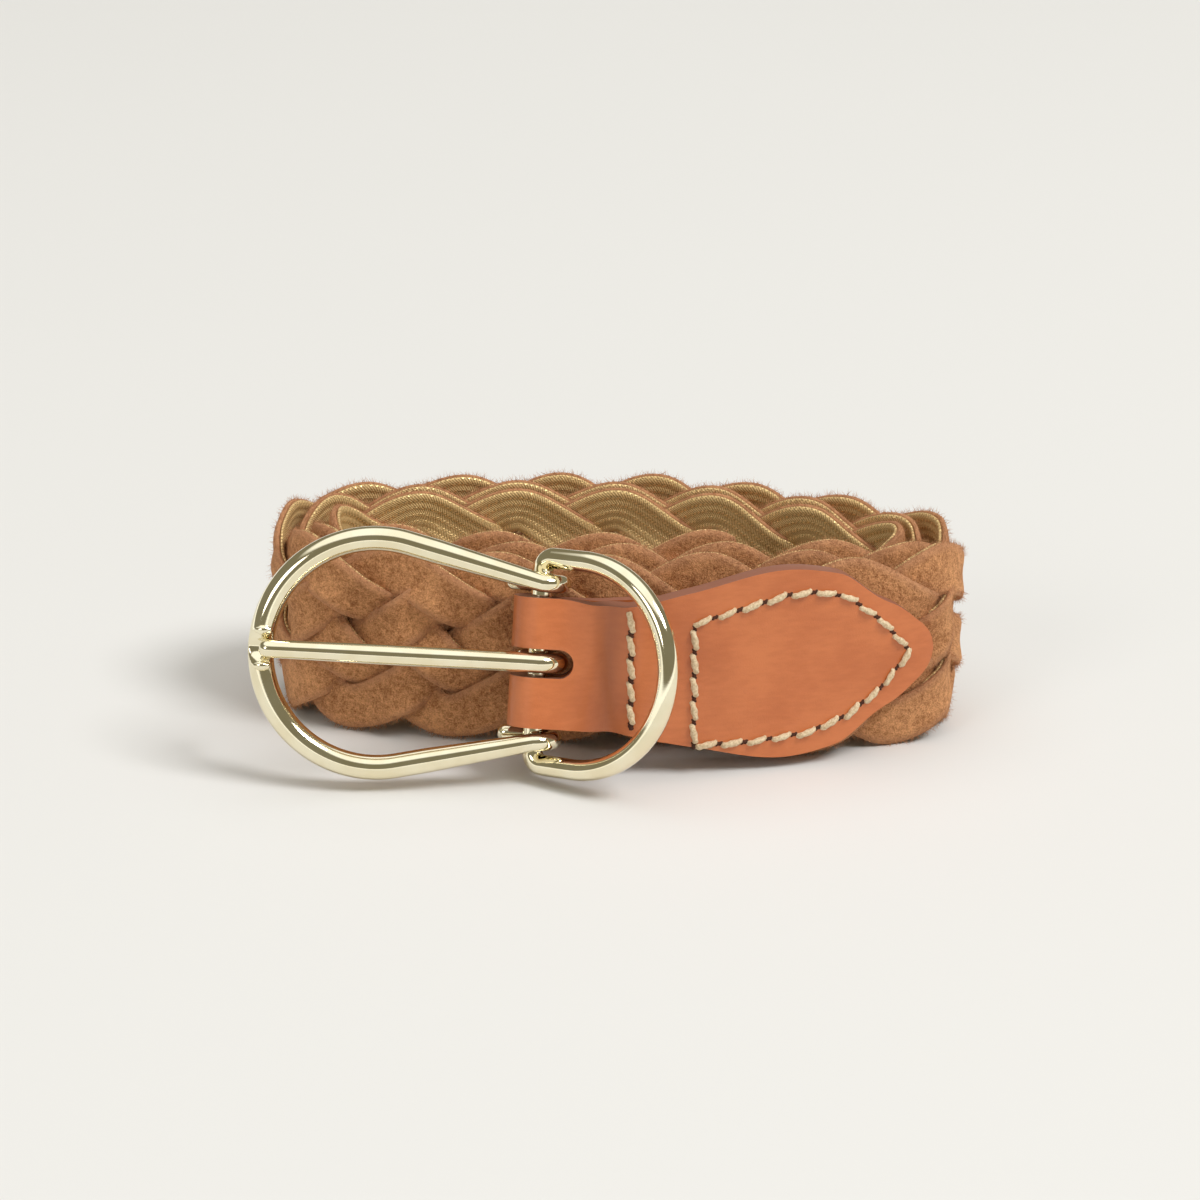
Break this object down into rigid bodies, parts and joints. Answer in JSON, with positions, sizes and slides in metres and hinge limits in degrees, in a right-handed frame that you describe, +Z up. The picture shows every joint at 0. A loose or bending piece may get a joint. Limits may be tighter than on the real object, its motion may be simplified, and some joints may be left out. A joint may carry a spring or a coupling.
{
  "type": "belt",
  "caption": "Braided suede and metallic ribbon belt, coiled and standing on its edge, with a stitched leather chape and a wire buckle with prong and D ring.",
  "frame": {"origin": "middle of the footprint, on the surface the coil stands on", "axes": "+X along the coil towards the chape's point, -Y the front, +Z up, across the strap's width"},
  "size_m": [0.1196, 0.0702, 0.0424],
  "materials": {
    "suede": "napped suede",
    "metallic_ribbon": "ribbed ribbon with metallic thread",
    "smooth_leather": "smooth vegetable tanned",
    "waxed_thread": "waxed twisted thread",
    "pale_gold_metal": "polished pale gold plate"
  },
  "bodies": {
    "strap": {"suede_braid": "suede", "ribbon_braid": "metallic_ribbon", "chape": "smooth_leather", "fold_stitches": "waxed_thread", "tab_stitches": "waxed_thread", "tip_outer_leaf": "smooth_leather", "tip_inner_leaf": "smooth_leather", "tip_stitches": "waxed_thread"},
    "ring": {"d_ring": "pale_gold_metal"},
    "frame": {"buckle_frame": "pale_gold_metal"},
    "prong": {"prong": "pale_gold_metal"}
  },
  "joints": [
    {"name": "ring_swing", "type": "hinge", "parent": "strap", "child": "ring", "pos_m": [-0.0123, -0.01885, 0.0196], "axis": [-0.061, -0.2751, -0.9595], "range_deg": [0, 40]},
    {"name": "frame_swing", "type": "hinge", "parent": "strap", "child": "frame", "pos_m": [-0.0123, -0.01885, 0.0196], "axis": [0.061, 0.2751, 0.9595], "range_deg": [0, 40]},
    {"name": "prong_swing", "type": "hinge", "parent": "frame", "child": "prong", "pos_m": [-0.0123, -0.01885, 0.0196], "axis": [0.061, 0.2751, 0.9595], "range_deg": [0, 35]}
  ]
}
